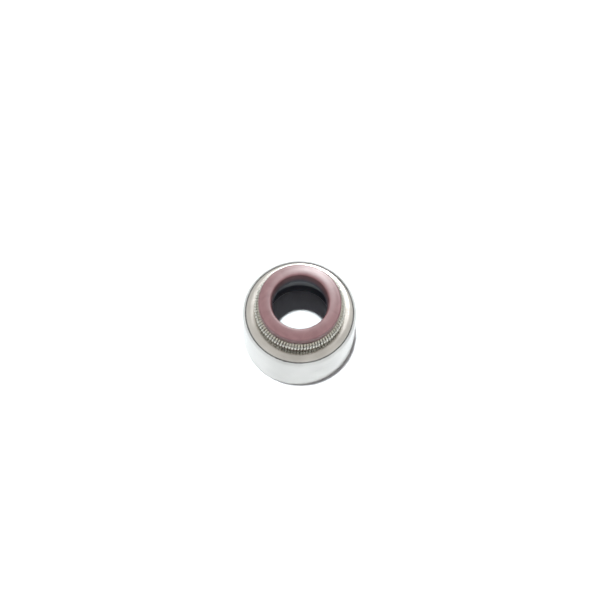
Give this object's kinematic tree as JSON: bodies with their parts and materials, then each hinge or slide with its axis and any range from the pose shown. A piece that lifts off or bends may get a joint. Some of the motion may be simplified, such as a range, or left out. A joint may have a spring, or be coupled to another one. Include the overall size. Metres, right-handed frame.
{
  "type": "valve stem seal",
  "caption": "Valve stem seal: a steel sleeve lined with rubber that presses on a valve guide, and a rubber head whose sprung lip wipes the valve stem.",
  "frame": {"origin": "centre of the open steel rim, on the axis of the seal", "axes": "+Z along the axis, from the open rim towards the head with the sealing lip"},
  "size_m": [0.0142, 0.0142, 0.0104],
  "materials": {
    "sleeve_steel": "deep-drawn sheet steel, satin",
    "seal_rubber": "moulded reddish-brown rubber, semi-matt",
    "spring_steel": "bright drawn spring wire"
  },
  "bodies": {
    "root": {"steel_sleeve": "sleeve_steel", "rubber_body": "seal_rubber", "garter_spring": "spring_steel"}
  },
  "joints": []
}
